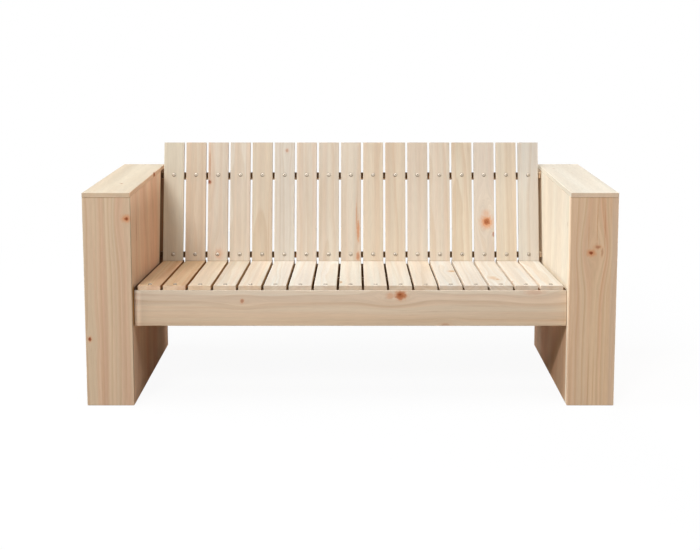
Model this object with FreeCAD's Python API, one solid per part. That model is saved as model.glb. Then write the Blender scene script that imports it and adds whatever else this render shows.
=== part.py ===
import FreeCAD
import Part
import math
import os

# Two-seat garden sofa in planed pine: two hollow box arms carry a slatted seat and a slatted back.
# Millimetres, +Z up. The origin is on the floor, midway between the arms and midway along their depth.
# The sofa faces -Y. Left and right are as seen by someone who stands in front of it.

# Arms
sofa_width = 1390.0
arm_depth = 600.0
arm_height = 568.0
arm_width = 124.0
arm_board_thickness = 12.0
corner_batten_size = 20.0
corner_batten_floor_gap = 10.0
corner_batten_top_gap = 70.0
top_cleat_size = 20.0
top_cleat_end_gap = 80.0

# Seat
seat_front_height = 316.0
seat_fall_angle = 3.0
seat_rail_setback = 29.0
seat_rail_thickness = 45.0
seat_rail_height = 95.0
middle_seat_rail_centre = 191.0
seat_slat_setback = 3.0
seat_slat_tail = 19.0
rear_seat_screw_inset = 12.0

# Back
back_lean_angle = 12.5
back_rise_above_arms = 73.0
upper_back_rail_drop = 25.0
lower_back_rail_rise = 18.0
back_rail_height = 18.0
back_rail_depth = 60.0
back_rail_rear_margin = 8.5
back_foot_clearance = 0.6

# Slats
slat_width = 60.0
slat_thickness = 12.0
slat_gap = 6.4
slat_side_clearance = 5.0

# Fasteners
slat_screw_radius = 2.0
slat_screw_length = 30.0
slat_screw_head_radius = 5.2
slat_screw_head_height = 2.6
rail_screw_radius = 3.5
rail_screw_length = 70.0
rail_screw_head_radius = 6.0
rail_screw_head_height = 3.5
rail_screw_top_distance = 35.0
rail_screw_bottom_distance = 20.0
screw_hole_clearance = 0.25
screw_thread_clearance = 0.1
screw_tip_clearance = 2.0
head_flats = 8
shank_flats = 6

# Finish
edge_ease = 1.5
rail_end_clearance = 0.4

ALONG_X = FreeCAD.Vector(1, 0, 0)
ALONG_Y = FreeCAD.Vector(0, 1, 0)
ALONG_Z = FreeCAD.Vector(0, 0, 1)

half_width = sofa_width / 2
half_inner_width = half_width - arm_width
arm_front = -arm_depth / 2
arm_rear = arm_depth / 2
panel_top = arm_height - arm_board_thickness
panel_front = arm_front + arm_board_thickness
panel_rear = arm_rear - arm_board_thickness


def board(x_range, y_range, z_range, grain):
    """A planed board that fills the three ranges, with the four edges along its grain eased."""
    size = [high - low for low, high in (x_range, y_range, z_range)]
    corner = FreeCAD.Vector(x_range[0], y_range[0], z_range[0])
    box = Part.makeBox(*size, corner)
    long_edges = [edge for edge in box.Edges if abs(edge.tangentAt(edge.FirstParameter).dot(grain)) > 0.5]
    across = [extent for extent, share in zip(size, grain) if share < 0.5]
    return box.makeChamfer(min(edge_ease, min(across) / 3), long_edges)


def prism(sides, radius, start, direction, length):
    """A straight bar with a regular outline, from the start point along the direction."""
    turns = [2 * math.pi * step / sides for step in range(sides + 1)]
    corners = [FreeCAD.Vector(radius * math.cos(turn), radius * math.sin(turn), 0) for turn in turns]
    bar = Part.Face(Part.makePolygon(corners)).extrude(length * ALONG_Z)
    bar.Placement = FreeCAD.Placement(start, FreeCAD.Rotation(ALONG_Z, direction))
    return bar


def bore(radius, start, direction, depth):
    """The hole that a screw's shank sits in, with as many flats as the shank."""
    return prism(shank_flats, radius, start, direction, depth)


def screw(head_radius, head_height, shank_radius, length):
    """A screw that points along -Z, with the flat underside of its head at z = 0."""
    head = prism(head_flats, head_radius, FreeCAD.Vector(0, 0, 0), ALONG_Z, head_height)
    top_edges = [edge for edge in head.Edges if edge.BoundBox.ZMin > head_height / 2]
    head = head.makeChamfer(head_height / 2, top_edges)
    shank = prism(shank_flats, shank_radius, FreeCAD.Vector(0, 0, 0), -ALONG_Z, length)
    return head.fuse(shank).removeSplitter()


def turned(shape, start, direction):
    """A copy of a shape that points along -Z, turned to point along the direction from the start point."""
    copy = shape.copy()
    copy.Placement = FreeCAD.Placement(start, FreeCAD.Rotation(-ALONG_Z, direction))
    return copy


def placed(shape, placement):
    """A copy of a shape made in a tilted frame's own axes, set where that frame stands."""
    copy = shape.copy()
    copy.Placement = placement.multiply(copy.Placement)
    return copy


# The slats of the seat and of the back share one pattern, centred between the arms.
slat_pitch = slat_width + slat_gap
slat_count = int((2 * half_inner_width - 2 * slat_side_clearance + slat_gap) / slat_pitch)
slat_centres = [(index - (slat_count - 1) / 2) * slat_pitch for index in range(slat_count)]
slat_hole_radius = slat_screw_radius + screw_hole_clearance
slat_pilot_radius = slat_screw_radius + screw_thread_clearance
rail_hole_radius = rail_screw_radius + screw_hole_clearance
rail_pilot_radius = rail_screw_radius + screw_thread_clearance
rail_half_length = half_inner_width - rail_end_clearance
rail_screw_reach = rail_screw_length - arm_board_thickness - rail_end_clearance

# The seat frame is square in its own axes: y runs back along the slats, z = 0 is where slats lie on rails.
# It hangs with its rear end low, turned about the top front edge of the front rail.
seat_fall = math.radians(seat_fall_angle)
slat_front_rise = slat_thickness * math.cos(seat_fall) - seat_slat_setback * math.sin(seat_fall)
slat_front_back = slat_thickness * math.sin(seat_fall) + seat_slat_setback * math.cos(seat_fall)
seat_frame = FreeCAD.Placement(
    FreeCAD.Vector(0, arm_front + seat_rail_setback, seat_front_height - slat_front_rise),
    FreeCAD.Rotation(ALONG_X, -seat_fall_angle),
)
slat_front = arm_front + seat_rail_setback + slat_front_back

# The back frame is square in its own axes too: z runs up the slats from their foot, and y = 0 is the slats'
# front face. Its upper rail is set by the arms, and the slats run down from there to just above the seat.
back_lean = math.radians(back_lean_angle)
upper_rail_face_y = (
    arm_rear
    - back_rail_rear_margin
    - back_rail_depth * math.cos(back_lean)
    - back_rail_height / 2 * math.sin(back_lean)
)
upper_rail_face_z = arm_height - upper_back_rail_drop
seat_height_below_rail = (
    seat_front_height + back_foot_clearance - (upper_rail_face_y - slat_front) * math.tan(seat_fall)
)
upper_back_rail_rise = (upper_rail_face_z - seat_height_below_rail) / (
    math.cos(back_lean) + math.sin(back_lean) * math.tan(seat_fall)
)
foot_rear_y = upper_rail_face_y - upper_back_rail_rise * math.sin(back_lean)
foot_rear_z = upper_rail_face_z - upper_back_rail_rise * math.cos(back_lean)
back_frame = FreeCAD.Placement(
    FreeCAD.Vector(
        0,
        foot_rear_y - slat_thickness * math.cos(back_lean),
        foot_rear_z + slat_thickness * math.sin(back_lean),
    ),
    FreeCAD.Rotation(ALONG_X, -back_lean_angle),
)
back_slat_length = (arm_height + back_rise_above_arms - back_frame.Base.z) / math.cos(back_lean)
seat_slat_length = (foot_rear_y - slat_front) / math.cos(seat_fall) + seat_slat_tail

# Where each rail lies in its frame, and the rows of screws through the slats and into the rails' ends.
# The rear seat rail is flush with the slats' ends, and its row of slat screws is hidden behind the back.
seat_slat_end = seat_slat_setback + seat_slat_length
seat_rail_centres = {
    "front_seat_rail": seat_rail_thickness / 2,
    "middle_seat_rail": middle_seat_rail_centre,
    "rear_seat_rail": seat_slat_end - seat_rail_thickness / 2,
}
seat_screw_rows = {
    "front_seat_rail": seat_rail_centres["front_seat_rail"],
    "rear_seat_rail": seat_slat_end - rear_seat_screw_inset,
}
back_rail_centres = {
    "upper_back_rail": upper_back_rail_rise,
    "lower_back_rail": lower_back_rail_rise,
}
back_screw_rows = list(back_rail_centres.values())
back_rail_rear = slat_thickness + back_rail_depth
back_end_screw_y = (slat_screw_length + back_rail_rear) / 2
seat_end_screw_heights = [-rail_screw_top_distance, rail_screw_bottom_distance - seat_rail_height]
seat_end_places = [(seat_frame, y, z) for y in seat_rail_centres.values() for z in seat_end_screw_heights]
back_end_places = [(back_frame, back_end_screw_y, z) for z in back_rail_centres.values()]
rail_end_places = seat_end_places + back_end_places
slat_pilot_depth = slat_screw_length - slat_thickness + screw_tip_clearance


def end_holes(places):
    """The blind pilot holes in both ends of a rail, at the given y and z of its frame."""
    holes = []
    for y, z in places:
        for side in (-1, 1):
            start = FreeCAD.Vector(side * (rail_half_length + screw_tip_clearance), y, z)
            depth = rail_screw_reach + 2 * screw_tip_clearance
            holes.append(bore(rail_pilot_radius, start, -side * ALONG_X, depth))
    return holes


def make_seat_rails():
    """Three deep rails on edge. The front and rear ones are drilled for the slats' screws."""
    rails = {}
    for name, centre in seat_rail_centres.items():
        rail = board(
            (-rail_half_length, rail_half_length),
            (centre - seat_rail_thickness / 2, centre + seat_rail_thickness / 2),
            (-seat_rail_height, 0),
            ALONG_X,
        )
        holes = end_holes([(centre, height) for height in seat_end_screw_heights])
        if name in seat_screw_rows:
            for x in slat_centres:
                start = FreeCAD.Vector(x, seat_screw_rows[name], 0)
                holes.append(bore(slat_pilot_radius, start, -ALONG_Z, slat_pilot_depth))
        rails[name] = placed(rail.cut(holes), seat_frame)
    return rails


def make_back_rails():
    """Two thin rails set square to the back slats, with their narrow edge against the slats."""
    rails = {}
    for name, centre in back_rail_centres.items():
        rail = board(
            (-rail_half_length, rail_half_length),
            (slat_thickness, back_rail_rear),
            (centre - back_rail_height / 2, centre + back_rail_height / 2),
            ALONG_X,
        )
        holes = end_holes([(back_end_screw_y, centre)])
        for x in slat_centres:
            start = FreeCAD.Vector(x, slat_thickness, centre)
            holes.append(bore(slat_pilot_radius, start, ALONG_Y, slat_pilot_depth))
        rails[name] = placed(rail.cut(holes), back_frame)
    return rails


def make_seat_slats():
    """Slats from front to rear, lying flat on the seat rails, each bored for two screws."""
    slats = {}
    for number, x in enumerate(slat_centres, 1):
        slat = board(
            (x - slat_width / 2, x + slat_width / 2),
            (seat_slat_setback, seat_slat_end),
            (0, slat_thickness),
            ALONG_Y,
        )
        starts = [FreeCAD.Vector(x, y, 0) for y in seat_screw_rows.values()]
        holes = [bore(slat_hole_radius, start, ALONG_Z, slat_thickness) for start in starts]
        slats[f"seat_slat_{number:02d}"] = placed(slat.cut(holes), seat_frame)
    return slats


def make_back_slats():
    """Upright slats from just above the seat to the top of the back, flat against the back rails."""
    slats = {}
    for number, x in enumerate(slat_centres, 1):
        slat = board(
            (x - slat_width / 2, x + slat_width / 2),
            (0, slat_thickness),
            (0, back_slat_length),
            ALONG_Z,
        )
        starts = [FreeCAD.Vector(x, 0, z) for z in back_screw_rows]
        holes = [bore(slat_hole_radius, start, ALONG_Y, slat_thickness) for start in starts]
        slats[f"back_slat_{number:02d}"] = placed(slat.cut(holes), back_frame)
    return slats


def make_slat_screws():
    """One screw for each hole of each slat, its head on the face that people see."""
    one = screw(slat_screw_head_radius, slat_screw_head_height, slat_screw_radius, slat_screw_length)
    seat = []
    back = []
    for x in slat_centres:
        for y in seat_screw_rows.values():
            seat.append(placed(turned(one, FreeCAD.Vector(x, y, slat_thickness), -ALONG_Z), seat_frame))
        for z in back_screw_rows:
            back.append(placed(turned(one, FreeCAD.Vector(x, 0, z), ALONG_Y), back_frame))
    return {"seat_slat_screws": Part.makeCompound(seat), "back_slat_screws": Part.makeCompound(back)}


def make_rail_screws():
    """Long screws from inside each arm, through its inner panel and into the ends of the rails."""
    one = screw(rail_screw_head_radius, rail_screw_head_height, rail_screw_radius, rail_screw_length)
    screws = []
    for side in (-1, 1):
        for frame, y, z in rail_end_places:
            start = FreeCAD.Vector(side * (half_inner_width + arm_board_thickness), y, z)
            screws.append(placed(turned(one, start, -side * ALONG_X), frame))
    return {"rail_screws": Part.makeCompound(screws)}


def across_arm(side, near, far):
    """The x range of a piece of one arm, given how far its two faces are from the arm's inner face."""
    return sorted((side * (half_inner_width + near), side * (half_inner_width + far)))


def make_arm(name, side):
    """A hollow box, open at the floor: boards front and rear, panels between them and a top over all."""
    outer_panel_face = arm_width - arm_board_thickness
    inner_panel = board(
        across_arm(side, 0, arm_board_thickness), (panel_front, panel_rear), (0, panel_top), ALONG_Z
    )
    holes = []
    for frame, y, z in rail_end_places:
        start = FreeCAD.Vector(side * half_inner_width, y, z)
        holes.append(placed(bore(rail_hole_radius, start, side * ALONG_X, arm_board_thickness), frame))
    pieces = {
        "front_board": board(
            across_arm(side, 0, arm_width), (arm_front, panel_front), (0, panel_top), ALONG_Z
        ),
        "rear_board": board(
            across_arm(side, 0, arm_width), (panel_rear, arm_rear), (0, panel_top), ALONG_Z
        ),
        "top_board": board(
            across_arm(side, 0, arm_width), (arm_front, arm_rear), (panel_top, arm_height), ALONG_Y
        ),
        "inner_panel": inner_panel.cut(holes),
        "outer_panel": board(
            across_arm(side, outer_panel_face, arm_width), (panel_front, panel_rear), (0, panel_top), ALONG_Z
        ),
    }
    inner_side = (arm_board_thickness, arm_board_thickness + corner_batten_size)
    outer_side = (outer_panel_face - corner_batten_size, outer_panel_face)
    front_end = (panel_front, panel_front + corner_batten_size)
    rear_end = (panel_rear - corner_batten_size, panel_rear)
    battens = []
    for near, far in (inner_side, outer_side):
        for end in (front_end, rear_end):
            height = (corner_batten_floor_gap, panel_top - corner_batten_top_gap)
            battens.append(board(across_arm(side, near, far), end, height, ALONG_Z))
    pieces["corner_battens"] = Part.makeCompound(battens)
    cleats = []
    for near, far in (
        (arm_board_thickness, arm_board_thickness + top_cleat_size),
        (outer_panel_face - top_cleat_size, outer_panel_face),
    ):
        length = (panel_front + top_cleat_end_gap, panel_rear - top_cleat_end_gap)
        height = (panel_top - top_cleat_size, panel_top)
        cleats.append(board(across_arm(side, near, far), length, height, ALONG_Y))
    pieces["top_cleats"] = Part.makeCompound(cleats)
    return {f"{name}_arm_{piece}": shape for piece, shape in pieces.items()}


nodes = {
    **make_arm("left", -1),
    **make_arm("right", 1),
    **make_seat_rails(),
    **make_back_rails(),
    **make_seat_slats(),
    **make_back_slats(),
    **make_slat_screws(),
    **make_rail_screws(),
}
os.makedirs("parts", exist_ok=True)
for node, shape in nodes.items():
    shape.exportStep(f"parts/{node}.step")
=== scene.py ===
import math

import bpy
import numpy as np
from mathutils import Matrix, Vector


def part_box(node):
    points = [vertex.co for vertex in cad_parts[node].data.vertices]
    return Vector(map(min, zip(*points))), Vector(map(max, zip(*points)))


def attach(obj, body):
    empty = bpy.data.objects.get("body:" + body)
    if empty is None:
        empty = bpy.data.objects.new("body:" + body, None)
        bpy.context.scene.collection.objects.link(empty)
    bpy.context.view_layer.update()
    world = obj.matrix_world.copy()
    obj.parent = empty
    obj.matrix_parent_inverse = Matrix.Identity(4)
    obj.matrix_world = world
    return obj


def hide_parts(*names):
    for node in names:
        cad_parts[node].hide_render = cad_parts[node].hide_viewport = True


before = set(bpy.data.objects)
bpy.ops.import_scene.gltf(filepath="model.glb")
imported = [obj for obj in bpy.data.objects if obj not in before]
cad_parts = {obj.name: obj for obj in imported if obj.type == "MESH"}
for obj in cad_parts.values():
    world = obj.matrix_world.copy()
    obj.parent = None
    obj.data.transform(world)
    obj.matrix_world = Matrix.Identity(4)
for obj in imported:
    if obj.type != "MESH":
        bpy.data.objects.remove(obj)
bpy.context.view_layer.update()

# Arm front boards
# The two upright boards that close the arms towards the front, planed from wide pine, with standing grain.
# They are glued to battens in the arm's corners, so their faces show no fasteners.


def own_size(node, lean):
    """A board's size before it was leaned back about X, solved from the box that it fills in the frame.

    That box is y cos + z sin deep and y sin + z cos high, where y and z are the board's depth and height.
    """
    low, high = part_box(node)
    x, y, z = high - low
    cos, sin = math.cos(lean), math.sin(lean)
    share = cos**2 - sin**2
    return np.array((x, (y * cos - z * sin) / share, (z * cos - y * sin) / share))


def eased_board(node, grain, lean=0.0, ease=0.0017, end_ease=0.0008, foot=(0.0, 0.0), seed=0):
    """A planed board where a CAD node is: a rounded rectangle carried along the grain axis.

    Each corner of the section is a quarter circle whose radius swells and shrinks a little along the board,
    by a slow and a quick wave, as sanding by hand leaves it. At both ends the section is drawn in along a
    smaller quarter circle. The foot is how far the lower end is let down, and its slope to the front.
    Three attributes go with it: arris is 1 along the rounded edges, end_grain is 1 on the end faces, and
    narrow is 1 and -1 on the two long faces that are the board's thickness, 0 on the wide ones.
    """
    station_pitch = 0.012
    corner_steps = 4
    end_steps = 3
    half = own_size(node, lean) / 2
    across, through = (grain + 1) % 3, (grain + 2) % 3
    straight = half[grain] - end_ease
    stations = np.linspace(-straight, straight, max(2, round(2 * straight / station_pitch)))
    quarter = np.linspace(0, math.pi / 2, end_steps + 1)[1:]
    rise = np.concatenate((-np.sin(quarter[::-1]), np.zeros(len(stations)), np.sin(quarter)))
    ends = np.full(end_steps, straight)
    along = np.concatenate((-ends, stations, ends)) + end_ease * rise
    flat = np.sqrt(np.clip(1 - rise**2, 0, 1))
    drawn_in = (end_ease * (1 - flat))[:, None, None]

    slow_wave = 29
    slow_share = 0.20
    quick_wave = 83
    quick_share = 0.12
    rng = np.random.default_rng(seed)
    slow, quick = rng.uniform(0, 2 * math.pi, (2, 1, 4))
    swell = slow_share * np.sin(along[:, None] * slow_wave + slow)
    swell += quick_share * np.sin(along[:, None] * quick_wave + quick)
    radius = (ease * (1 + swell))[:, :, None]
    corner = radius - drawn_in
    step = np.linspace(0, math.pi / 2, corner_steps + 1)
    angle = (np.arange(4)[:, None] * math.pi / 2 + step)[None]
    side_a = np.array((1, -1, -1, 1))[None, :, None]
    side_b = np.array((1, 1, -1, -1))[None, :, None]
    shape = (len(along), 4 * len(step))

    points = np.zeros((*shape, 3))
    points[..., across] = (side_a * (half[across] - radius) + corner * np.cos(angle)).reshape(shape)
    points[..., through] = (side_b * (half[through] - radius) + corner * np.sin(angle)).reshape(shape)
    let_down = foot[0] + foot[1] * (half[through] - points[..., through])
    points[..., grain] = along[:, None] - (rise < 0)[:, None] * let_down
    normals = np.zeros_like(points)
    normals[..., across] = flat[:, None] * np.cos(angle).reshape(1, -1)
    normals[..., through] = flat[:, None] * np.sin(angle).reshape(1, -1)
    normals[..., grain] = rise[:, None]
    cos, sin = math.cos(lean), math.sin(lean)
    leaned = np.array(((1, 0, 0), (0, cos, sin), (0, -sin, cos)))
    low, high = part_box(node)
    points = points @ leaned.T + np.array((low + high) / 2)
    normals = normals @ leaned.T

    index = np.arange(shape[0] * shape[1]).reshape(shape)
    beside = np.roll(index, -1, axis=1)
    sides = np.stack((index[:-1], beside[:-1], beside[1:], index[1:]), axis=-1).reshape(-1, 4)
    faces = [*sides.tolist(), index[0, ::-1].tolist(), index[-1].tolist()]
    mesh = bpy.data.meshes.new(node + "_planed")
    mesh.from_pydata(points.reshape(-1, 3), [], faces)
    worn = flat[:, None] * np.abs(np.sin(2 * angle)).reshape(1, -1)
    sawn = np.abs(rise)[:, None] + np.zeros(shape)
    facing = np.cos(angle) if half[across] > half[through] else np.sin(angle)
    narrow = flat[:, None] * facing.reshape(1, -1)
    for name, values in (("arris", worn), ("end_grain", sawn), ("narrow", narrow)):
        attribute = mesh.attributes.new(name, "FLOAT", "POINT")
        attribute.data.foreach_set("value", values.ravel().astype(np.float32))
    mesh.shade_smooth()
    mesh.normals_split_custom_set_from_vertices(normals.reshape(-1, 3))
    piece = bpy.data.objects.new(mesh.name, mesh)
    bpy.context.scene.collection.objects.link(piece)
    return piece


def tone(red, green, blue):
    """A colour as it is seen, 0 to 255, as the linear values that shaders take."""
    seen = np.array((red, green, blue)) / 255
    return (*np.where(seen <= 0.04045, seen / 12.92, ((seen + 0.055) / 1.055) ** 2.4), 1.0)


def add(tree, kind, inputs, **settings):
    """Adds a shader node. Each input is a value for its socket, or the output socket that feeds it."""
    node = tree.nodes.new("ShaderNode" + kind)
    for name, value in settings.items():
        setattr(node, name, value)
    for name, value in inputs.items():
        if isinstance(value, bpy.types.NodeSocket):
            tree.links.new(value, node.inputs[name])
        else:
            node.inputs[name].default_value = value
    return node


def calc(tree, operation, *values):
    """The output of a Math node."""
    return add(tree, "Math", dict(enumerate(values)), operation=operation).outputs[0]


def ease_between(tree, value, start, end, low=0.0, high=1.0):
    """A value that goes smoothly from low to high while another goes from start to end."""
    inputs = {"Value": value, "From Min": start, "From Max": end, "To Min": low, "To Max": high}
    return add(tree, "MapRange", inputs, interpolation_type="SMOOTHSTEP").outputs[0]


def blended(tree, share, first, second, blend_type="MIX"):
    """One colour laid over another by a share from 0 to 1."""
    inputs = {0: share, 6: first, 7: second}
    return add(tree, "Mix", inputs, data_type="RGBA", blend_type=blend_type).outputs[2]


def stretched_noise(tree, place, seed, per_metre, detail):
    """Noise that has its own scale across, through and along the board, in features per metre."""
    scaled = add(tree, "VectorMath", {0: place, 1: per_metre}, operation="MULTIPLY").outputs[0]
    inputs = {"Vector": scaled, "W": seed, "Scale": 1.0, "Detail": detail, "Roughness": 0.5}
    return add(tree, "TexNoise", inputs, noise_dimensions="4D").outputs[0]


def new_group(name, inputs, outputs):
    """An empty shader group with named sockets, as its tree, its inputs and the node for its outputs.

    The inputs come with their usual values. A single one is a number, three are a vector and four a colour.
    """
    tree = bpy.data.node_groups.new(name, "ShaderNodeTree")
    for socket, usual in inputs.items():
        kind = {1: "Float", 3: "Vector", 4: "Color"}[np.size(usual)]
        made = tree.interface.new_socket(socket, in_out="INPUT", socket_type="NodeSocket" + kind)
        made.default_value = usual
    for socket, kind in outputs.items():
        tree.interface.new_socket(socket, in_out="OUTPUT", socket_type="NodeSocket" + kind)
    return tree, tree.nodes.new("NodeGroupInput").outputs, tree.nodes.new("NodeGroupOutput")


def make_pine_knot():
    """A branch cut through: a dark heart with its own rings, a reddish halo, and grain that bends round it.

    The distance from the knot, in its own radii, is measured on the board's face and roughened by noise.
    The heart ends near 1 and the halo at the reach. The grain is drawn towards the knot's middle by a share
    that falls off as a bell curve, so that lines which ran straight now bulge round it.
    """
    tree, given, result = new_group(
        "pine knot",
        {"Board": (0, 0, 0), "Grain": (0, 0, 0), "Centre": (0, 0, 0), "Radius": 0.004, "Reach": 3.0,
         "Stretch": 1.0, "Darkness": 1.0, "Glow": 0.8, "Heart": 0.0, "Halo": 0.0},
        {"Grain": "Vector", "Heart": "Float", "Halo": "Float"},
    )
    rough = stretched_noise(tree, given["Board"], given["Radius"], (210, 210, 130), 2.0)
    offset = add(tree, "VectorMath", {0: given["Board"], 1: given["Centre"]}, operation="SUBTRACT")
    apart = add(tree, "SeparateXYZ", {0: offset.outputs[0]}).outputs
    upright = calc(tree, "DIVIDE", apart[2], given["Stretch"])
    on_face = add(tree, "CombineXYZ", {0: apart[0], 2: upright}).outputs[0]
    length = add(tree, "VectorMath", {0: on_face}, operation="LENGTH").outputs["Value"]
    radii = calc(tree, "DIVIDE", length, given["Radius"])
    radii = calc(tree, "MULTIPLY", radii, ease_between(tree, rough, 0.25, 0.75, 0.80, 1.20))
    ringed = ease_between(tree, calc(tree, "PINGPONG", radii, 0.3), 0.0, 0.3, 0.6, 1.0)
    heart = calc(tree, "MULTIPLY", ease_between(tree, radii, 1.15, 0.6), ringed)
    heart = calc(tree, "MULTIPLY", heart, given["Darkness"])
    spread = ease_between(tree, radii, given["Reach"], 0.5)
    halo = calc(tree, "MULTIPLY", calc(tree, "MULTIPLY", spread, spread), given["Glow"])

    bend_radius = calc(tree, "MULTIPLY", given["Radius"], given["Reach"])
    beside = calc(tree, "DIVIDE", apart[0], bend_radius)
    above = calc(tree, "DIVIDE", apart[2], calc(tree, "MULTIPLY", bend_radius, 2.6))
    square = calc(tree, "ADD", calc(tree, "MULTIPLY", beside, beside), calc(tree, "MULTIPLY", above, above))
    bell = calc(tree, "EXPONENT", calc(tree, "MULTIPLY", square, -0.6))
    drawn = calc(tree, "MULTIPLY", calc(tree, "MULTIPLY", apart[0], bell), -0.8)
    drawn = add(tree, "CombineXYZ", {0: drawn}).outputs[0]
    grain = add(tree, "VectorMath", {0: given["Grain"], 1: drawn}, operation="ADD").outputs[0]
    tree.links.new(grain, result.inputs["Grain"])
    tree.links.new(calc(tree, "MAXIMUM", given["Heart"], heart), result.inputs["Heart"])
    tree.links.new(calc(tree, "MAXIMUM", given["Halo"], halo), result.inputs["Halo"])
    return tree


def make_pine_figure():
    """The figure of planed pine as a solid pattern, so that end grain and faces belong together.

    Rings lie round the heart of the log, and their radius wanders slowly along the grain. Through each ring
    the wood darkens to the late wood and then turns pale at once. Broad bands blush, others are a little
    darker, thin streaks and fine fibres run along the grain, and knots tint what is round them.
    """
    untinted = (1, 1, 1, 1)
    heart_wood = tone(134, 62, 40)
    sanded_wood = tone(240, 224, 200)
    tree, given, result = new_group(
        "pine figure",
        {"Grain": (0, 0, 0), "Log Heart": (0, 0.1, 0), "Seed": 0.0, "Ring Width": 0.009, "Figure": 0.35,
         "Streaks": 0.3, "Coarseness": 1.0, "Pale Wood": untinted, "Late Wood": untinted, "Blush": untinted,
         "Blush Share": 0.7, "Edge Tint": untinted, "Far Edge Tint": untinted,
         "End Tint": tone(233, 225, 218), "Halo Wood": tone(210, 146, 102), "Heart": 0.0, "Halo": 0.0},
        {"Color": "Color", "Roughness": "Float", "Height": "Float"},
    )
    seed = given["Seed"]
    wider = add(tree, "CombineXYZ", {0: given["Coarseness"], 1: given["Coarseness"], 2: 1.0}).outputs[0]
    grain = add(tree, "VectorMath", {0: given["Grain"], 1: wider}, operation="DIVIDE").outputs[0]
    wander = stretched_noise(tree, grain, seed, (7, 7, 1.5), 3.0)
    bands = stretched_noise(tree, grain, seed, (42, 42, 1.0), 2.0)
    shade = stretched_noise(tree, grain, seed, (75, 75, 1.6), 2.0)
    streak = stretched_noise(tree, grain, seed, (190, 190, 2.4), 2.0)
    fleck = stretched_noise(tree, grain, seed, (420, 420, 14), 1.0)
    fibre = stretched_noise(tree, grain, seed, (1500, 1500, 34), 2.0)

    from_heart = add(tree, "VectorMath", {0: grain, 1: given["Log Heart"]}, operation="SUBTRACT").outputs[0]
    section = add(tree, "VectorMath", {0: from_heart, 1: (1, 1, 0)}, operation="MULTIPLY").outputs[0]
    log_radius = add(tree, "VectorMath", {0: section}, operation="LENGTH").outputs["Value"]
    drift = calc(tree, "MULTIPLY", calc(tree, "SUBTRACT", wander, 0.5), 0.045)
    rings = calc(tree, "DIVIDE", calc(tree, "ADD", log_radius, drift), given["Ring Width"])
    season = calc(tree, "FRACT", rings)
    darkens = ease_between(tree, season, 0.15, 0.88)
    turns_pale = ease_between(tree, season, 1.0, 0.93)
    late = calc(tree, "MULTIPLY", darkens, turns_pale)
    year = add(tree, "CombineXYZ", {0: calc(tree, "FLOOR", rings), 1: seed}).outputs[0]
    vigour = add(tree, "TexWhiteNoise", {"Vector": year}, noise_dimensions="2D").outputs["Value"]
    late = calc(tree, "MULTIPLY", late, ease_between(tree, vigour, 0.0, 1.0, 0.1, 1.0))
    late = calc(tree, "MULTIPLY", late, given["Figure"])
    thin = calc(tree, "MULTIPLY", ease_between(tree, streak, 0.56, 0.72), given["Streaks"])
    late = calc(tree, "MAXIMUM", late, thin)

    blush = calc(tree, "MULTIPLY", ease_between(tree, bands, 0.38, 0.62), given["Blush Share"])
    wood = blended(tree, blush, given["Pale Wood"], given["Blush"])
    wood = blended(tree, late, wood, given["Late Wood"])
    dash = calc(tree, "MULTIPLY", ease_between(tree, fleck, 0.64, 0.80), 0.25)
    wood = blended(tree, dash, wood, given["Late Wood"])
    banded = ease_between(tree, shade, 0.3, 0.7, 1.05, 0.95)
    fibrous = ease_between(tree, fibre, 0.25, 0.75, 0.94, 1.05)
    bright = calc(tree, "MULTIPLY", banded, fibrous)
    wood = add(tree, "VectorMath", {0: wood, 3: bright}, operation="SCALE").outputs[0]
    wood = blended(tree, given["Halo"], wood, given["Halo Wood"])
    wood = blended(tree, given["Heart"], wood, heart_wood)
    # Painted shade and light on narrow faces: Edge Shade darkens one, Far Edge Light brightens the other.
    narrow = add(tree, "Attribute", {}, attribute_name="narrow").outputs["Fac"]
    wood = blended(tree, narrow, wood, given["Edge Tint"], "MULTIPLY")
    wood = blended(tree, calc(tree, "MULTIPLY", narrow, -1.0), wood, given["Far Edge Tint"], "MULTIPLY")
    sawn = add(tree, "Attribute", {}, attribute_name="end_grain").outputs["Fac"]
    wood = blended(tree, sawn, wood, given["End Tint"], "MULTIPLY")
    worn = add(tree, "Attribute", {}, attribute_name="arris").outputs["Fac"]
    wood = blended(tree, calc(tree, "MULTIPLY", worn, 0.22), wood, sanded_wood)
    tree.links.new(wood, result.inputs["Color"])

    rough = ease_between(tree, fibre, 0.2, 0.8, 0.64, 0.78)
    rough = calc(tree, "SUBTRACT", rough, calc(tree, "MULTIPLY", late, 0.10))
    rough = calc(tree, "SUBTRACT", rough, calc(tree, "MULTIPLY", worn, 0.08))
    rough = calc(tree, "ADD", rough, calc(tree, "MULTIPLY", sawn, 0.12))
    tree.links.new(rough, result.inputs["Roughness"])
    height = calc(tree, "ADD", calc(tree, "MULTIPLY", fibre, 0.6), calc(tree, "MULTIPLY", late, 0.5))
    height = calc(tree, "ADD", height, calc(tree, "MULTIPLY", given["Heart"], 0.4))
    tree.links.new(height, result.inputs["Height"])
    return tree


pine_knot = make_pine_knot()
pine_figure = make_pine_figure()


def knot(across, along, radius, reach=3.0, stretch=1.0, heart=1.0, glow=0.8):
    """One knot as inputs of the knot group: its place from the board's middle, its radius, the halo's reach
    in radii, how far it is drawn out along the grain, and how dark its heart and how red its halo are.
    """
    return {"Centre": (across, 0, along), "Radius": radius, "Reach": reach, "Stretch": stretch,
            "Darkness": heart, "Glow": glow}


def passing(tree, board, woods, fades):
    """Woods that pass into others. A fade is those other woods with the fades they have in turn, the
    direction in which the board passes into them, and where that starts and ends, measured from its middle.
    """
    for other_woods, other_fades, direction, start, end in fades:
        other_woods = passing(tree, board, other_woods, other_fades)
        facing = add(tree, "VectorMath", {0: board, 1: direction}, operation="DOT_PRODUCT")
        share = ease_between(tree, facing.outputs["Value"], start, end)
        woods = [blended(tree, share, *pair) for pair in zip(woods, other_woods)]
    return woods


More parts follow.
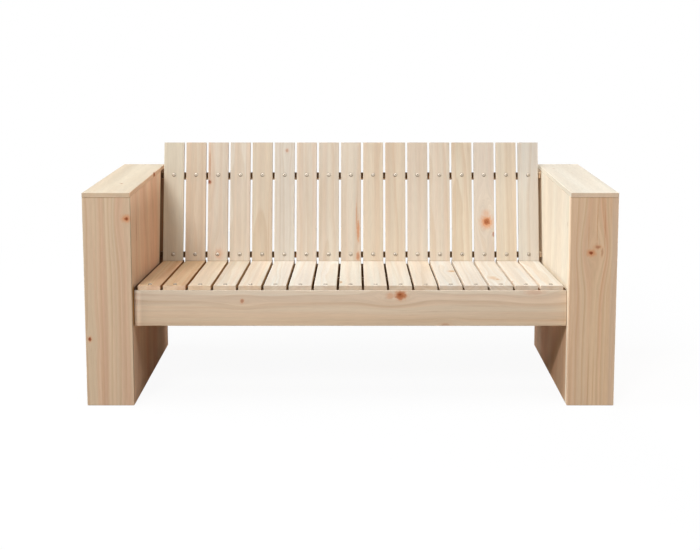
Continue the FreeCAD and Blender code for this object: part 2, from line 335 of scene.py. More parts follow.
def fade(woods, direction, start, end, fades=()):
    """One fade into other woods, which mostly have none of their own."""
    return woods, fades, direction, start, end


def planed_pine(name, centre, turn, woods, log_heart, seed, knots=(), fades=(), **look):
    """Raw planed pine for one board. The turn lays the pattern's axes across, through and along the board.

    The woods are its pale wood, its late wood and its blush. A look sets the figure's inputs by their names.
    """
    material = bpy.data.materials.new(name)
    material.use_nodes = True
    tree = material.node_tree
    place = add(tree, "TexCoord", {}).outputs["Object"]
    turned = {"Vector": place, "Location": centre, "Rotation": turn}
    board = add(tree, "Mapping", turned, vector_type="TEXTURE").outputs[0]
    flow = {"Grain": board}
    for values in knots:
        branch = add(tree, "Group", {"Board": board, **values, **flow}, node_tree=pine_knot)
        flow = {socket: branch.outputs[socket] for socket in ("Grain", "Heart", "Halo")}
    colours = dict(zip(("Pale Wood", "Late Wood", "Blush"), passing(tree, board, woods, fades)))
    look = {socket.replace("_", " ").title(): value for socket, value in look.items()}
    inputs = {"Log Heart": log_heart, "Seed": seed, **colours, **look, **flow}
    wood = add(tree, "Group", inputs, node_tree=pine_figure)
    bump = add(tree, "Bump", {"Strength": 0.35, "Distance": 0.0004, "Height": wood.outputs["Height"]})
    shader = tree.nodes["Principled BSDF"]
    shader.inputs["Specular IOR Level"].default_value = 0.0
    tree.links.new(wood.outputs["Color"], shader.inputs["Base Color"])
    tree.links.new(wood.outputs["Roughness"], shader.inputs["Roughness"])
    tree.links.new(bump.outputs["Normal"], shader.inputs["Normal"])
    return material


def middle(node):
    """The middle of a CAD node's box."""
    low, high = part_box(node)
    return (low + high) / 2


ALONG_X, ALONG_Y, ALONG_Z = 0, 1, 2
upright_turn = (0, 0, 0)
to_left = (-1, 0, 0)
to_right = (1, 0, 0)
plain_woods = (tone(217, 194, 165), tone(204, 170, 137), tone(211, 177, 149))
grey_woods = (tone(216, 197, 171), tone(198, 169, 140), tone(212, 184, 160))
front_boards = {
    "left": {
        "woods": (tone(210, 191, 165), tone(174, 136, 103), tone(205, 170, 145)),
        "log_heart": (-0.16, 0.05, 0), "seed": 3.1, "ring_width": 0.0105, "figure": 0.3,
        "knots": [
            knot(0.053, 0.222, 0.0056, reach=4.4, stretch=0.8, glow=0.9),
            knot(-0.051, -0.098, 0.0048, reach=2.8, stretch=1.2, glow=0.6),
        ],
    },
    "right": {
        "woods": (tone(218, 193, 162), tone(181, 138, 101), tone(213, 173, 143)),
        "log_heart": (0.10, 0.05, 0), "seed": 10.1, "ring_width": 0.009, "figure": 0.6, "streaks": 0.5,
        # Its inner narrow face is brightened as painted light from the left.
        "far_edge_tint": (1.25, 1.25, 1.25, 1),
        "knots": [
            knot(-0.007, 0.132, 0.0056, reach=4.2, stretch=0.8, glow=0.9),
            knot(0.010, 0.1475, 0.0072, reach=3.0, stretch=0.55, heart=0.5, glow=0.5),
            knot(0.0215, 0.134, 0.0028, reach=2.6, stretch=4.2, heart=0.35, glow=0.25),
            knot(0.008, 0.214, 0.0011, reach=2.4, stretch=46.0, heart=0.25, glow=0.3),
            knot(0.028, 0.200, 0.0012, reach=2.4, stretch=50.0, heart=0.2, glow=0.3),
            knot(-0.014, 0.185, 0.0012, reach=2.4, stretch=28.0, heart=0.12, glow=0.25),
        ],
        "fades": [fade(plain_woods, to_left, -0.005, 0.03), fade(grey_woods, to_right, 0.042, 0.050)],
    },
}
for number, (side, look) in enumerate(front_boards.items()):
    node = f"{side}_arm_front_board"
    piece = eased_board(node, ALONG_Z, end_ease=0.0016, seed=10 + number)
    pine = planed_pine(node, middle(node), upright_turn, end_tint=tone(188, 162, 137), **look)
    piece.data.materials.append(pine)
    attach(piece, "root")
    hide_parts(node)

# Arm rear boards
# The same two boards at the back of the arms, cut from the same pine but with plainer figure.
# They are glued to the rear battens in the same way.
rear_boards = {
    "left": {"log_heart": (0.03, -0.09, 0), "seed": 17.4, "knots": [knot(0.02, 0.11, 0.006)]},
    "right": {"log_heart": (-0.02, -0.09, 0), "seed": 22.4, "knots": [knot(-0.03, -0.09, 0.006)],
              # Its inner narrow face is brightened as painted light.
              "far_edge_tint": (1.4, 1.45, 1.5, 1)},
}
for number, (side, look) in enumerate(rear_boards.items()):
    node = f"{side}_arm_rear_board"
    piece = eased_board(node, ALONG_Z, seed=20 + number)
    woods = front_boards[side]["woods"]
    pine = planed_pine(node, middle(node), upright_turn, woods, ring_width=0.010, **look)
    piece.data.materials.append(pine)
    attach(piece, "root")
    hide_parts(node)

# Arm side panels
# Wide panels between the front and rear boards, edge-glued from pine with the grain standing.
# The inner ones carry the rails, whose long screws come through them from inside the arm.
panel_turn = (0, 0, math.radians(90))
panel_woods = {
    "amber": (tone(241, 209, 180), tone(205, 153, 114), tone(236, 189, 158)),
    "cream": (tone(238, 230, 212), tone(222, 202, 174), tone(236, 222, 202)),
    # The pale light wood and the browner russet are laid on the right inner panel only as painted light and
    # painted shade.
    "light": (tone(254, 240, 216), tone(248, 224, 192), tone(252, 234, 208)),
    "russet_shade": (tone(229, 197, 164), tone(194, 144, 103), tone(224, 178, 143)),
    "tan": (tone(226, 203, 173), tone(190, 147, 109), tone(220, 184, 152)),
}
# Painted shade: darker woods that the inner panels pass into where shadow falls on them.
painted_shade_woods = {
    "umber": (tone(200, 170, 140), tone(169, 124, 89), tone(196, 153, 122)),
    "shadow": (tone(171, 131, 84), tone(150, 104, 62), tone(166, 120, 76)),
    "amber": (tone(140, 112, 88), tone(118, 84, 62), tone(136, 102, 78)),
    "cream": (tone(226, 208, 182), tone(206, 180, 148), tone(222, 200, 174)),
}
seat_fall = math.radians(3)
back_lean = math.radians(12.5)
# Directions on a panel, in its own axes across, through and along the grain.
up = (0, 0, 1)
to_front = (-1, 0, 0)
behind_back = (math.cos(back_lean), 0, -math.sin(back_lean))
below_seat = (-math.sin(seat_fall), 0, -math.cos(seat_fall))
above_rail_shadow = (0.628, 0, 0.778)
# The front rail's shadow edge on the right inner panel, painted: darker along the edge, paler further into
# the shade.
rail_shadow_fades = [
    fade(painted_shade_woods["umber"], above_rail_shadow, -0.236, -0.222),
    fade(panel_woods["amber"], above_rail_shadow, -0.215, -0.130),
]
side_panels = {
    "left_arm_inner_panel": {
        "woods": panel_woods["amber"], "log_heart": (0.06, 0.12, 0), "seed": 29.7,
        "coarseness": 5.0, "figure": 0.25, "streaks": 0.2,
        "knots": [knot(-0.213, 0.18, 0.0028, reach=2.0, stretch=12.0, heart=0.5, glow=0.3)],
        # Painted shade: a dark line beside the seat, a shadow strip in front of the rail and a darker band
        # behind the back.
        "fades": [
            fade(painted_shade_woods["amber"], below_seat, -0.0215, -0.0165),
            fade(painted_shade_woods["shadow"], to_front, 0.262, 0.272),
            fade(panel_woods["amber"], up, 0.03, 0.05),
            fade(painted_shade_woods["amber"], behind_back, 0.149, 0.160),
            fade(panel_woods["amber"], up, -0.060, -0.075),
        ],
    },
    "right_arm_inner_panel": {
        "woods": panel_woods["cream"], "log_heart": (0.02, 0.12, 0), "seed": 32.7,
        "coarseness": 5.0, "figure": 0.2, "streaks": 0.15,
        "knots": [knot(-0.256, 0.20, 0.0025, reach=2.4, stretch=3.0, heart=0.3, glow=0.3)],
        # Painted light and shade: paler by the seat, darker behind the back and below the seat, lit in front
        # of the rail.
        "fades": [
            fade(panel_woods["light"], below_seat, -0.030, -0.020),
            fade(painted_shade_woods["cream"], behind_back, 0.149, 0.160),
            fade(panel_woods["russet_shade"], up, 0.0, -0.07, rail_shadow_fades),
            fade(panel_woods["light"], to_front, 0.266, 0.274),
        ],
    },
    "left_arm_outer_panel": {
        "woods": panel_woods["tan"], "log_heart": (-0.02, 0.12, 0), "seed": 35.7,
        "knots": [knot(-0.12, 0.09, 0.007), knot(0.16, -0.13, 0.005)],
    },
    "right_arm_outer_panel": {
        "woods": panel_woods["tan"], "log_heart": (-0.06, 0.12, 0), "seed": 38.7,
        "knots": [knot(0.09, 0.14, 0.006), knot(-0.15, -0.05, 0.008)],
    },
}
for number, (node, look) in enumerate(side_panels.items()):
    piece = eased_board(node, ALONG_Z, seed=30 + number)
    pine = planed_pine(node, middle(node), panel_turn, ring_width=0.012, **look)
    piece.data.materials.append(pine)
    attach(piece, "root")
    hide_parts(node)

# Arm tops
# One board over each arm, with the grain from front to rear, so its sawn end shows above the front board.
# It lies on two cleats inside the arm and is glued to them.
top_turn = (math.radians(-90), 0, 0)
arm_tops = {
    "left": {
        "woods": (tone(218, 205, 184), tone(199, 171, 137), tone(214, 192, 165)),
        "log_heart": (0.02, -0.09, 0), "seed": 41.2, "figure": 0.12, "blush_share": 0.4,
        # Its inner narrow face is tinted darker and warmer as painted shade.
        "edge_tint": (1.15, 0.93, 0.83, 1), "end_tint": tone(243, 236, 230),
        "knots": [
            knot(0.010, -0.128, 0.0042, reach=2.0, stretch=1.3, heart=0.75, glow=0.5),
            knot(0.062, 0.099, 0.0032, reach=1.6, stretch=4.4, heart=0.85, glow=0.5),
        ],
    },
    "right": {
        "woods": (tone(231, 222, 206), tone(214, 191, 160), tone(228, 210, 188)),
        "log_heart": (-0.03, -0.09, 0), "seed": 46.2, "figure": 0.08, "blush_share": 0.3,
        # Its inner narrow face is brightened a little as painted light.
        "far_edge_tint": (1.05, 1.08, 1.08, 1), "end_tint": tone(240, 227, 217),
        "knots": [knot(-0.03, 0.19, 0.0030, heart=0.4, glow=0.4)],
    },
}
for number, (side, look) in enumerate(arm_tops.items()):
    node = f"{side}_arm_top_board"
    piece = eased_board(node, ALONG_Y, seed=40 + number)
    pine = planed_pine(node, middle(node), top_turn, coarseness=2.4, streaks=0.06, **look)
    piece.data.materials.append(pine)
    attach(piece, "root")
    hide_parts(node)

# Battens and cleats inside the arms
# Square pine sticks, sawn and not planed, that the boards and panels are glued to.
# They are hidden inside the arms, so they keep their CAD shape.
stick_woods = (tone(218, 188, 152), tone(178, 134, 92), tone(210, 166, 126))
stick_turns = {
    "left_arm_corner_battens": upright_turn,
    "right_arm_corner_battens": upright_turn,
    "left_arm_top_cleats": top_turn,
    "right_arm_top_cleats": top_turn,
}
for number, (node, turn) in enumerate(stick_turns.items()):
    pine = planed_pine(
        node, middle(node), turn, stick_woods, log_heart=(0.04, 0.05, 0), seed=53.0 + number,
        ring_width=0.006, figure=0.5,
    )
    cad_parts[node].data.materials.clear()
    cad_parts[node].data.materials.append(pine)

# Seat rails
# Three deep pine rails on edge between the arms, which carry the seat slats. The front one is the apron.
# Long screws through the arms' inner panels hold their ends.


def tinted(woods, tint):
    """The same woods, each multiplied by a tint."""
    return [tuple(np.multiply(wood, tint)) for wood in woods]


def light_and_shade_by_height(woods):
    """Fades of a rail's woods by its height: paler towards the top as painted light and browner towards the
    foot as painted shade.
    """
    to_top = (-1, 0, 0)
    to_foot = (1, 0, 0)
    painted_top_light = (1.033, 1.076, 1.137, 1)
    painted_foot_shade = (0.925, 0.893, 0.852, 1)
    return [
        fade(tinted(woods, painted_top_light), to_top, 0.002, 0.034),
        fade(tinted(woods, painted_foot_shade), to_foot, 0.004, 0.034),
    ]


rail_turn = (0, math.radians(90), 0)
rail_woods = (tone(217, 201, 179), tone(186, 152, 119), tone(213, 186, 159))
shaded_left_rail_woods = (tone(213, 197, 175), tone(183, 149, 117), tone(209, 182, 155))
lit_rail_end_woods = (tone(249, 233, 212), tone(216, 178, 143), tone(246, 216, 188))
painted_shade_rail_woods = (tone(112, 90, 68), tone(92, 68, 48), tone(108, 82, 60))
to_left_end = (0, 0, -1)
# The rails' left part is a little darker as painted shade, and the very left end paler as painted light.
rail_fades = [
    *light_and_shade_by_height(rail_woods),
    fade(shaded_left_rail_woods, to_left_end, 0.26, 0.44, light_and_shade_by_height(shaded_left_rail_woods)),
    fade(lit_rail_end_woods, to_left_end, 0.5485, 0.5665, light_and_shade_by_height(lit_rail_end_woods)),
]
# Between the slats the rails are painted dim as shade: the front one behind its front edge, the others all
# but the rear face.
shade_behind_edge = fade(painted_shade_rail_woods, (-0.6, 0.8, 0), 0.0140, 0.0170)
shade_but_rear = fade(painted_shade_rail_woods, (0, 1, 0), 0.0195, 0.0165)
seat_rails = {
    "front_seat_rail": {
        "log_heart": (0.05, 0.11, 0), "seed": 61.3, "fades": [*rail_fades, shade_behind_edge],
        "knots": [
            knot(-0.035, 0.132, 0.0112, reach=2.0, stretch=1.25, heart=0.55, glow=1.0),
            knot(-0.037, 0.130, 0.0046, reach=1.6, stretch=1.5, heart=0.9, glow=0.0),
            knot(-0.046, 0.486, 0.0095, reach=2.4, stretch=2.2, heart=0.08, glow=0.28),
            knot(-0.034, 0.105, 0.0075, reach=2.2, stretch=1.2, heart=0.0, glow=0.45),
            knot(-0.020, -0.286, 0.0060, reach=2.4, stretch=0.7, heart=0.5, glow=0.5),
            knot(0.043, 0.250, 0.0045, reach=3.0, stretch=2.6, heart=0.3, glow=0.15),
        ],
    },
    "middle_seat_rail": {
        "log_heart": (0.02, 0.11, 0), "seed": 65.3, "fades": [*rail_fades, shade_but_rear],
        "knots": [knot(0.01, -0.20, 0.008)],
    },
    "rear_seat_rail": {
        "log_heart": (-0.01, 0.11, 0), "seed": 69.3, "fades": [*rail_fades, shade_but_rear],
        "knots": [knot(-0.02, 0.31, 0.009), knot(0.02, -0.12, 0.006)],
    },
}
for number, (node, look) in enumerate(seat_rails.items()):
    piece = eased_board(node, ALONG_X, seat_fall, end_ease=0.0020, seed=50 + number)
    pine = planed_pine(
        node, middle(node), rail_turn, rail_woods, figure=0.28, streaks=0.3, blush_share=0.5,
        end_tint=tone(168, 138, 112), **look,
    )
    piece.data.materials.append(pine)
    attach(piece, "root")
    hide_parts(node)

# Back rails
# Two thin pine rails that lean with the back, with their narrow edge against the slats.
# Their ends are held by long screws through the arms' inner panels, as the seat rails' are.
back_rail_woods = (tone(226, 205, 175), tone(191, 152, 113), tone(222, 186, 151))
painted_shade_back_rail_woods = (tone(114, 89, 65), tone(100, 70, 45), tone(111, 82, 57))
behind_slats = (math.sin(back_lean), math.cos(back_lean), 0)
to_right_end = (0, 0, 1)
# The rails' edge against the slats is painted dark as shade, but not at the right end.
back_rail_fades = [
    fade(painted_shade_back_rail_woods, behind_slats, -0.0275, -0.0290),
    fade(back_rail_woods, to_right_end, 0.562, 0.565),
]
back_rails = {
    "upper_back_rail": {"seed": 71.9, "knots": [knot(0.0, 0.24, 0.005)]},
    "lower_back_rail": {"seed": 75.9, "knots": [knot(0.0, -0.16, 0.005)]},
}
for number, (node, look) in enumerate(back_rails.items()):
    piece = eased_board(node, ALONG_X, back_lean, seed=60 + number)
    pine = planed_pine(
        node, middle(node), rail_turn, back_rail_woods, log_heart=(0.03, 0.08, 0), fades=back_rail_fades,
        ring_width=0.007, **look,
    )
    piece.data.materials.append(pine)
    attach(piece, "root")
    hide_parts(node)

# Seat slats
# Seventeen thin planed pine slats from front to rear, with eased edges and narrow gaps for the rain.
# Each lies on the three seat rails, screwed to the front one and, hidden behind the back, to the rear one.


def slat_timber(rng, heart_depths):
    """What a slat draws at random: the place of its log's heart, its seed and the width of its rings.

    The heart lies up to 60 mm to either side of the slat, at a depth between the two that are given.
    """
    least = (-0.06, heart_depths[0], 0, 0.006)
    most = (0.06, heart_depths[1], 90, 0.012)
    side, depth, seed, ring_width = rng.uniform(least, most)
    return {"log_heart": (side, depth, 0), "seed": seed, "ring_width": ring_width}


slat_count = 17
seat_turn = (math.radians(-90) - seat_fall, 0, 0)
seat_woods = {
    "honey": (tone(227, 199, 163), tone(202, 160, 117), tone(225, 184, 148)),
    "peach": (tone(244, 230, 207), tone(228, 200, 162), tone(244, 221, 194)),
    "cream": (tone(238, 226, 207), tone(223, 196, 162), tone(238, 217, 194)),
    "milk": (tone(236, 230, 217), tone(221, 200, 171), tone(236, 221, 204)),
    "straw": (tone(232, 222, 205), tone(217, 193, 161), tone(232, 213, 192)),
    "ivory": (tone(230, 223, 211), tone(215, 194, 166), tone(230, 216, 199)),
}
seat_named = 2 * ["honey"] + ["peach"] + 2 * ["cream"] + 3 * ["milk"] + 4 * ["straw"] + 5 * ["ivory"]
seat_ends = {"honey": {"end_tint": (1.0, 1.05, 1.18, 1)}}
left_slats = 11
# In the gaps, the left slats' narrow faces are painted darker as shade and the right slats' brighter as
# painted light.
left_edge_shade = {"edge_tint": tone(205, 176, 148)}
right_edge_light = {"far_edge_tint": (1.22, 1.16, 1.12, 1)}
# The first slats are painted darker towards the rear, as the left arm's shadow.
shaded_slats = 4
painted_rear_shade = (0.885, 0.885, 0.86, 1)
to_rear = (0, 0, 1)
seat_knots = {
    9: [knot(-0.026, -0.175, 0.0030, reach=3.0, stretch=4.0, heart=0.4, glow=0.6)],
    13: [knot(0.020, 0.010, 0.0060, reach=3.5, stretch=1.4, heart=0.15, glow=0.7)],
    15: [
        knot(-0.009, -0.105, 0.0080, reach=2.8, stretch=2.4, heart=0.05, glow=0.45),
        knot(0.001, -0.128, 0.0050, reach=2.6, stretch=1.8, heart=0.2, glow=0.6),
    ],
    16: [knot(-0.030, -0.162, 0.0030, reach=2.6, stretch=1.6, heart=0.6, glow=0.5)],
}
rng = np.random.default_rng(7)
for number in range(1, slat_count + 1):
    node = f"seat_slat_{number:02d}"
    piece = eased_board(node, ALONG_Y, seat_fall, ease=0.0013, seed=100 + number)
    wood = seat_named[number - 1]
    woods = seat_woods[wood]
    look = slat_timber(rng, (-0.08, -0.03))
    look.update(seat_ends.get(wood, {}))
    look.update(left_edge_shade if number <= left_slats else right_edge_light)
    if number <= shaded_slats:
        look["fades"] = [fade(tinted(woods, painted_rear_shade), to_rear, -0.02, 0.22)]
    pine = planed_pine(
        node, middle(node), seat_turn, woods, knots=seat_knots.get(number, ()),
        halo_wood=tone(214, 164, 100), **look,
    )
    piece.data.materials.append(pine)
    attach(piece, "root")
    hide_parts(node)

# Back slats
# Seventeen upright slats of the same section, leaning back, flat against the two back rails.
# Each is held by two screws from the front. The grain runs upright, and the feet follow the seat's slope.
back_turn = (-back_lean, 0, 0)
back_foot = (0.0004, math.tan(back_lean - seat_fall))
back_woods = {
    # The shade wood is grey made a little darker, as painted shade on the slat beside the left arm.
    "shade": (tone(215, 208, 190), tone(199, 180, 150), tone(213, 202, 183)),
    "cream": (tone(216, 205, 189), tone(198, 174, 145), tone(215, 196, 177)),
    "tan": (tone(217, 205, 185), tone(194, 166, 135), tone(213, 194, 173)),
    "rosy": (tone(215, 201, 181), tone(198, 169, 139), tone(214, 192, 169)),
    "grey": (tone(218, 212, 200), tone(202, 183, 158), tone(216, 205, 192)),
    "pearl": (tone(213, 207, 196), tone(198, 179, 155), tone(211, 200, 188)),
    "dove": (tone(213, 202, 188), tone(197, 174, 147), tone(211, 195, 180)),
    "linen": (tone(220, 210, 195), tone(202, 179, 151), tone(219, 201, 183)),
    "straw": (tone(216, 205, 187), tone(200, 175, 146), tone(215, 197, 175)),
}
back_named = {
    1: "shade", 2: "rosy", 4: "linen", 5: "tan", 6: "grey", 7: "linen", 10: "rosy", 11: "rosy", 14: "tan",
    15: "dove", 16: "straw", 17: "pearl",
}
back_streaks = {"tan": 0.6}
back_knots = {
    3: [
        knot(-0.027, 0.058, 0.0062, reach=2.2, glow=0.6),
        knot(-0.025, 0.110, 0.0024, reach=2.4, stretch=20.0, heart=0.3, glow=0.4),
        knot(0.004, -0.158, 0.0085, reach=2.6, stretch=1.3, heart=0.0, glow=0.45),
    ],
    6: [knot(0.007, 0.152, 0.0042, reach=2.6, stretch=1.2, heart=0.35, glow=0.4)],
    9: [
        knot(0.0165, -0.045, 0.0018, reach=2.0, stretch=22.0, heart=0.15, glow=0.5),
        knot(0.0215, -0.088, 0.0036, reach=2.0, stretch=9.0, heart=0.15, glow=0.75),
        knot(0.021, -0.165, 0.0050, reach=2.0, stretch=2.4, heart=0.35, glow=0.7),
    ],
    15: [
        knot(0.007, -0.062, 0.0095, reach=3.8, stretch=1.05, heart=0.75, glow=1.0),
        knot(0.006, -0.038, 0.0090, reach=2.4, heart=0.0, glow=0.4),
        knot(0.0275, -0.099, 0.0040, reach=2.0, stretch=2.0, heart=0.6, glow=0.3),
    ],
}
rng = np.random.default_rng(19)
for number in range(1, slat_count + 1):
    node = f"back_slat_{number:02d}"
    piece = eased_board(node, ALONG_Z, back_lean, end_ease=0.0002, foot=back_foot, seed=200 + number)
    wood = back_named.get(number, "cream")
    pine = planed_pine(
        node, middle(node), back_turn, back_woods[wood], knots=back_knots.get(number, ()),
        streaks=back_streaks.get(wood, 0.3), **slat_timber(rng, (0.03, 0.08)),
    )
    piece.data.materials.append(pine)
    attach(piece, "root")
    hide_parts(node)

# Slat screws
# Zinc-plated pan-head screws with a four-lobed recess, one at each crossing of a slat and a rail that it is
# fixed to. Only the heads stand on the wood.


def screw_heads(node, places, normal):
    """The heads of one group of screws as one mesh, from a polar grid repeated at every place.

    Rings run from the middle of the recess to its rim and over the crown to the seat. The recess outline is
    a circle whose radius swells and shrinks with cos 4a, which makes four lobes, and the crown is a
    superellipse. Every head is turned by its own angle. The attribute grime_and_shade is high in the recess,
    as soiling and painted shade, and towards the seat as painted shade.
    """
    head_radius = 0.0056
    head_height = 0.0026
    recess_radius = 0.0018
    recess_depth = 0.0014
    lobe_share = 0.55
    crown_power = 2.6
    crown_start = 0.52
    rim_share = 0.4
    sharp_edge = math.radians(40)
    spokes = 24
    spoke = np.arange(spokes) * 2 * math.pi / spokes
    lobes = recess_radius * (1 + lobe_share * np.cos(4 * spoke))
    crown = np.linspace(crown_start, 1.0, 6)
    crown_radii = head_radius * np.repeat(crown[:, None], spokes, axis=1)
    crown_height = head_height * (1 - crown**crown_power) ** (1 / crown_power)
    top = head_height * (1 - rim_share**crown_power) ** (1 / crown_power)
    radii = np.vstack((0.35 * lobes, 0.8 * lobes, lobes, crown_radii))
    levels = np.array((top - recess_depth, top - 0.85 * recess_depth, top, *crown_height))
    rng = np.random.default_rng(len(node))
    twist = rng.uniform(0, math.pi / 2, len(places))
    angle = spoke[None, None, :] + twist[:, None, None]
    right = np.array((1.0, 0, 0))
    upward = np.cross(normal, right)
    points = (
        np.array(places)[:, None, None, :]
        + (radii * np.cos(angle))[..., None] * right
        + (radii * np.sin(angle))[..., None] * upward
        + np.broadcast_to(levels[None, :, None], angle.shape[:1] + radii.shape)[..., None] * normal
    )
    rings = len(levels)
    index = np.arange(rings * spokes).reshape(rings, spokes)
    beside = np.roll(index, -1, axis=1)
    sides = np.stack((index[1:], beside[1:], beside[:-1], index[:-1]), axis=-1).reshape(-1, 4)
    first = np.arange(len(places))[:, None] * rings * spokes
    faces = (first[:, :, None] + sides[None]).reshape(-1, 4).tolist()
    faces += (first + index[0]).tolist() + (first + index[-1, ::-1]).tolist()
    mesh = bpy.data.meshes.new(node + "_pan_heads")
    mesh.from_pydata(points.reshape(-1, 3), [], faces)
    # Soiling and painted shade: high in the recess and rising towards the rim where the head meets the wood.
    grime_and_shade = np.array((0.8, 0.7, 0.15, *np.clip(4 * crown - 3, 0, 1)))
    attribute = mesh.attributes.new("grime_and_shade", "FLOAT", "POINT")
    attribute.data.foreach_set("value", np.tile(np.repeat(grime_and_shade, spokes), len(places)).astype(np.float32))
    mesh.shade_smooth()
    mesh.set_sharp_from_angle(angle=sharp_edge)
    piece = bpy.data.objects.new(mesh.name, mesh)
    bpy.context.scene.collection.objects.link(piece)
    return piece


def zinc_plate(name, grime_and_shade_share):
    """Zinc over steel: fine turning marks, a patchy dull bloom, and soiling and painted shade in the recess
    and at the rim.
    """
    bright_zinc = tone(205, 194, 178)
    dull_zinc = tone(180, 169, 154)
    grime_and_shade_brown = tone(76, 64, 52)
    material = bpy.data.materials.new(name)
    material.use_nodes = True
    tree = material.node_tree
    place = add(tree, "TexCoord", {}).outputs["Object"]
    bloom = stretched_noise(tree, place, 2.0, (350, 350, 350), 3.0)
    marks = stretched_noise(tree, place, 5.0, (2600, 2600, 2600), 1.0)
    grime_and_shade = add(tree, "Attribute", {}, attribute_name="grime_and_shade").outputs["Fac"]
    metal = blended(tree, ease_between(tree, bloom, 0.35, 0.7), bright_zinc, dull_zinc)
    grime_and_shade = calc(tree, "MULTIPLY", grime_and_shade, grime_and_shade_share)
    metal = blended(tree, grime_and_shade, metal, grime_and_shade_brown)
    dullness = ease_between(tree, bloom, 0.3, 0.7, 0.46, 0.60)
    rough = calc(tree, "ADD", dullness, calc(tree, "MULTIPLY", grime_and_shade, 0.3))
    bump = add(tree, "Bump", {"Strength": 0.2, "Distance": 0.0002, "Height": marks})
    shader = tree.nodes["Principled BSDF"]
    shader.inputs["Metallic"].default_value = 1.0
    tree.links.new(metal, shader.inputs["Base Color"])
    tree.links.new(rough, shader.inputs["Roughness"])
    tree.links.new(bump.outputs["Normal"], shader.inputs["Normal"])
    return material


# The insets run along a slat, from its two ends to its screws.
slat_frames = {
    "seat": {
        "lean": seat_fall,
        "grain": ALONG_Y,
        "along": Vector((0, math.cos(seat_fall), -math.sin(seat_fall))),
        "out": Vector((0, math.sin(seat_fall), math.cos(seat_fall))),
        "start_inset": 0.0195,
        "end_inset": 0.0120,
        "grime_and_shade_share": 0.65,
    },
    "back": {
        "lean": back_lean,
        "grain": ALONG_Z,
        "along": Vector((0, math.sin(back_lean), math.cos(back_lean))),
        "out": Vector((0, -math.cos(back_lean), math.sin(back_lean))),
        "start_inset": 0.0180,
        "end_inset": 0.0977,
        "grime_and_shade_share": 1.0,
    },
}
slat_thickness = own_size("seat_slat_01", seat_fall)[2]
for part, slats in slat_frames.items():
    places = []
    for number in range(1, slat_count + 1):
        slat = f"{part}_slat_{number:02d}"
        reach = own_size(slat, slats["lean"])[slats["grain"]] / 2
        face = middle(slat) + slats["out"] * slat_thickness / 2
        places.append(face - slats["along"] * (reach - slats["start_inset"]))
        places.append(face + slats["along"] * (reach - slats["end_inset"]))
    node = f"{part}_slat_screws"
    piece = screw_heads(node, places, np.array(slats["out"]))
    piece.data.materials.append(zinc_plate(node, slats["grime_and_shade_share"]))
    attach(piece, "root")
    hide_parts(node)

# Rail screws
# Long zinc-plated screws inside the arms, driven through the inner panels into the ends of the rails.
# They are out of sight, so they keep their CAD shape.
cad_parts["rail_screws"].data.materials.clear()
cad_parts["rail_screws"].data.materials.append(zinc_plate("rail_screws", 0.0))

# Studio
# A wide pale floor that runs out to a white surround. It looks white and still takes the sofa's shadow.
# A small lamp in front on the left, soft ones left, above and right, two low ones, and a small one behind.


def seen_directly(tree):
    """1 for what the camera sees, also mirrored or through glass, and 0 for light that reaches the sofa."""
    path = add(tree, "LightPath", {}).outputs
    mirrored = calc(tree, "MAXIMUM", path["Is Glossy Ray"], path["Is Transmission Ray"])
    return calc(tree, "MAXIMUM", path["Is Camera Ray"], mirrored)


floor_size = 40.0
floor_drop = 0.0003
corners = np.array(((-1, -1), (1, -1), (1, 1), (-1, 1))) * floor_size / 2
floor_mesh = bpy.data.meshes.new("studio_floor")
floor_mesh.from_pydata(np.column_stack((corners, np.full(4, -floor_drop))), [], [(0, 1, 2, 3)])
floor = bpy.data.objects.new("studio_floor", floor_mesh)
bpy.context.scene.collection.objects.link(floor)
paper = bpy.data.materials.new("studio_paper")
paper.use_nodes = True
tree = paper.node_tree
tree.nodes.remove(tree.nodes["Principled BSDF"])
glow = add(tree, "Emission", {"Color": (1, 1, 1, 1), "Strength": 1.0})
pale = add(tree, "BsdfDiffuse", {"Color": (0.9, 0.9, 0.9, 1)})
dim = add(tree, "BsdfDiffuse", {"Color": (0.43, 0.335, 0.265, 1)})
place = add(tree, "TexCoord", {}).outputs["Object"]
from_sofa = add(tree, "VectorMath", {0: place}, operation="LENGTH").outputs["Value"]
shadow_share = ease_between(tree, from_sofa, 2.4, 0.9, 0.0, 0.07)
shown = add(tree, "MixShader", {0: shadow_share, 1: glow.outputs[0], 2: pale.outputs[0]})
surface = add(tree, "MixShader", {0: seen_directly(tree), 1: dim.outputs[0], 2: shown.outputs[0]})
tree.links.new(surface.outputs[0], tree.nodes["Material Output"].inputs["Surface"])
floor_mesh.materials.append(paper)

world = bpy.data.worlds.new("studio")
world.use_nodes = True
tree = world.node_tree
ambient = tree.nodes["Background"]
ambient.inputs["Color"].default_value = (1.0, 0.98, 0.95, 1)
ambient.inputs["Strength"].default_value = 0.01
white = add(tree, "Background", {"Color": (1, 1, 1, 1), "Strength": 1.0})
sky = add(tree, "MixShader", {0: seen_directly(tree), 1: ambient.outputs[0], 2: white.outputs[0]})
tree.links.new(sky.outputs[0], tree.nodes["World Output"].inputs["Surface"])
bpy.context.scene.world = world

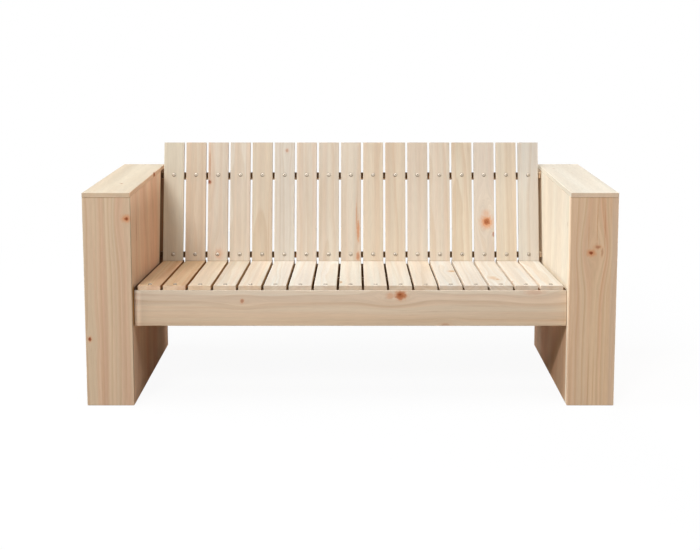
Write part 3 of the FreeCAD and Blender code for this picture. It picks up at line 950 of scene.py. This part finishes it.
# Angles are in degrees. The strength is the light on the sofa, so the power grows with the distance squared.
lamp_aim = Vector((0, 0, 0.35))
lamps = {
    "key": {"from_left": 22.5, "up": 36, "strength": 0.52, "spread": 16, "away": 8},
    "left": {
        "from_left": 90, "up": 40, "strength": 0.50, "spread": 36, "away": 12, "colour": (0.93, 1.0, 1.07),
    },
    "above": {"from_left": 60, "up": 72, "strength": 0.32, "spread": 50, "away": 6},
    "right": {"from_left": -45, "up": 50, "strength": 0.28, "spread": 40, "away": 12},
    "low left": {"from_left": 56, "up": 3, "strength": 0.11, "spread": 20, "away": 8},
    "low right": {"from_left": -92, "up": 1, "strength": 0.60, "spread": 10, "away": 8},
    "rear": {"from_left": 180, "up": 30, "strength": 0.35, "spread": 8, "away": 8},
}
for name, lamp in lamps.items():
    light = bpy.data.lights.new(name, "AREA")
    light.shape = "DISK"
    light.size = 2 * lamp["away"] * math.tan(math.radians(lamp["spread"]) / 2)
    light.energy = math.pi**2 * lamp["away"] ** 2 * lamp["strength"]
    light.color = lamp.get("colour", (1.0, 1.0, 1.0))
    holder = bpy.data.objects.new(name, light)
    round_left = math.radians(lamp["from_left"])
    height = math.radians(lamp["up"])
    towards = Vector((
        -math.sin(round_left) * math.cos(height), -math.cos(round_left) * math.cos(height), math.sin(height)
    ))
    holder.location = lamp_aim + lamp["away"] * towards
    holder.rotation_euler = towards.to_track_quat("Z", "Y").to_euler()
    bpy.context.scene.collection.objects.link(holder)

# Camera
# A long lens in front of the sofa, above the height of its back, looking slightly down on it.
# The rest of the way to the photograph's framing is a small downward shift of the lens.
tilt_down = 7.395
camera = bpy.data.cameras.new("camera")
camera.lens = 63.85
camera.sensor_width = 36.0
camera.shift_x = -0.00715
camera.shift_y = -0.15
holder = bpy.data.objects.new("camera", camera)
holder.location = (0.012, -3.4734, 1.0395)
holder.rotation_euler = (math.radians(90 - tilt_down), 0, 0)
bpy.context.scene.collection.objects.link(holder)
bpy.context.scene.camera = holder
bpy.context.scene.view_settings.view_transform = "Standard"
